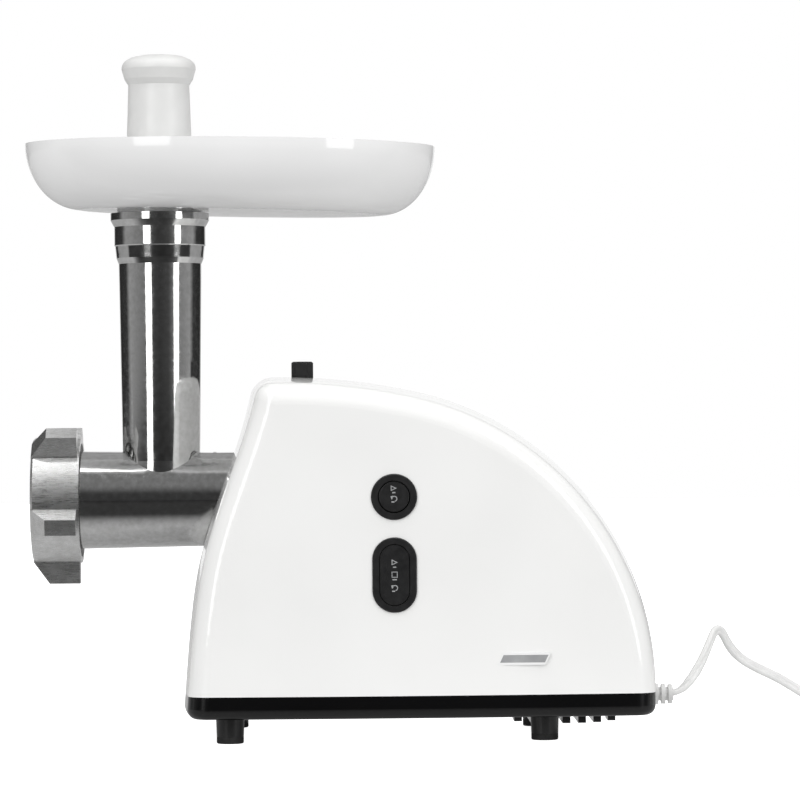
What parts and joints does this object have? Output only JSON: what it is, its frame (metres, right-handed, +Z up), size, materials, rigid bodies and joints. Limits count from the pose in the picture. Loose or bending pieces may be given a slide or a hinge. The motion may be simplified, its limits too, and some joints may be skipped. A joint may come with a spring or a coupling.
{
  "type": "electric meat grinder",
  "caption": "Countertop electric meat grinder: white housing on a black base, metal grinding head with lobed ring nut, oval feed tray, pusher and mains lead.",
  "frame": {"origin": "on the table, under the middle of the machine's bounding box without its lead", "axes": "+Z up, +X towards the back where the lead leaves, -Y the side with the switches"},
  "size_m": [0.501, 0.144, 0.35],
  "materials": {
    "white_abs": "gloss",
    "white_tray": "gloss",
    "white_pusher": "satin",
    "black_abs": "satin",
    "black_control": "satin",
    "rubber_pad": "matte",
    "badge_grey": "gloss",
    "cast_aluminium": "polished",
    "cutter_steel": "ground",
    "steel": "bright",
    "copper_enamel": "enamelled",
    "commutator_copper": "turned",
    "bronze": "sintered",
    "carbon": "matte",
    "nylon_natural": "satin",
    "nylon_grey": "satin",
    "phenolic": "satin",
    "pvc_white": "satin",
    "plated_brass": "bright"
  },
  "bodies": {
    "housing": {"badge": "badge_grey", "base_cover": "black_abs", "base_screws": "steel", "button_bezel": "black_control", "carbon_brushes": "carbon", "coil_tie": "pvc_white", "cord": "pvc_white", "cord_clamp": "nylon_grey", "cord_coil": "pvc_white", "cord_gland": "pvc_white", "field_coils": "copper_enamel", "foot_pads": "rubber_pad", "gear_axles": "steel", "gearbox_case": "nylon_grey", "gearbox_cover": "nylon_grey", "gearbox_screws": "steel", "head_socket": "nylon_grey", "housing_shell": "white_abs", "latch_spring": "steel", "motor_bushes": "bronze", "motor_front_bracket": "steel", "motor_rear_bracket": "phenolic", "motor_screws": "steel", "output_bushes": "bronze", "plug_body": "pvc_white", "plug_pins": "plated_brass", "pulse_switch": "phenolic", "rocker_bezel": "black_control", "rocker_switch": "phenolic", "stator_stack": "steel"},
    "head": {"grinder_head": "cast_aluminium"},
    "plate": {"cutting_plate": "cutter_steel"},
    "nut": {"ring_nut": "cast_aluminium"},
    "tray": {"tray": "white_tray"},
    "pusher": {"pusher": "white_pusher"},
    "rotor": {"motor_shaft": "steel", "armature_core": "steel", "armature_windings": "copper_enamel", "commutator": "commutator_copper", "cooling_fan": "phenolic"},
    "idler_1": {"idler_gear_1": "nylon_natural"},
    "idler_2": {"idler_gear_2": "nylon_natural"},
    "drive": {"output_gear": "nylon_natural", "output_shaft": "steel", "drive_cup": "nylon_natural", "auger": "cast_aluminium", "knife": "cutter_steel"},
    "pulse_button": {"push_button": "black_control"},
    "rocker": {"rocker": "black_control"},
    "release": {"release_button": "black_control", "latch_plate": "nylon_grey"}
  },
  "joints": [
    {"name": "head_twist", "type": "hinge", "parent": "housing", "child": "head", "pos_m": [-0.06, 0, 0.1215], "axis": [1, 0, 0], "range_deg": [0, 40]},
    {"name": "nut_turn", "type": "hinge", "parent": "plate", "child": "nut", "pos_m": [-0.145, 0, 0.1215], "axis": [-1, 0, 0], "range_deg": [0, 900]},
    {"name": "plate_out", "type": "slide", "parent": "head", "child": "plate", "axis": [-1, 0, 0], "range_m": [0, 0.0075]},
    {"name": "tray_lift", "type": "slide", "parent": "head", "child": "tray", "axis": [0, 0, 1], "range_m": [0, 0.06]},
    {"name": "pusher_lift", "type": "slide", "parent": "tray", "child": "pusher", "axis": [0, 0, 1], "range_m": [0, 0.21]},
    {"name": "motor_spin", "type": "hinge", "parent": "housing", "child": "rotor", "pos_m": [0.05, 0, 0.066], "axis": [1, 0, 0], "continuous": true},
    {"name": "idler_1_spin", "type": "hinge", "parent": "housing", "child": "idler_1", "pos_m": [0, 0.02979, 0.06249], "axis": [1, 0, 0], "continuous": true},
    {"name": "idler_2_spin", "type": "hinge", "parent": "housing", "child": "idler_2", "pos_m": [0, 0.03102, 0.09547], "axis": [1, 0, 0], "continuous": true},
    {"name": "auger_spin", "type": "hinge", "parent": "housing", "child": "drive", "pos_m": [-0.05, 0, 0.1215], "axis": [1, 0, 0], "continuous": true},
    {"name": "pulse_press", "type": "slide", "parent": "housing", "child": "pulse_button", "axis": [0, 1, 0], "range_m": [0, 0.002], "stiffness_N_per_m": 800},
    {"name": "rocker_tilt", "type": "hinge", "parent": "housing", "child": "rocker", "pos_m": [0.027, -0.07014, 0.0843], "axis": [1, 0, 0], "range_deg": [-8, 8]},
    {"name": "release_press", "type": "slide", "parent": "housing", "child": "release", "axis": [0, 0, -1], "range_m": [0, 0.004], "stiffness_N_per_m": 600, "springref_m": -0.002, "deforming": ["latch_spring"]}
  ],
  "couplings": [
    {"joint": "idler_1_spin", "follows": "motor_spin", "ratio": -0.2},
    {"joint": "idler_2_spin", "follows": "motor_spin", "ratio": 0.05},
    {"joint": "auger_spin", "follows": "motor_spin", "ratio": -0.014286},
    {"joint": "plate_out", "follows": "nut_turn", "m_per_rad": 0.00047746}
  ]
}
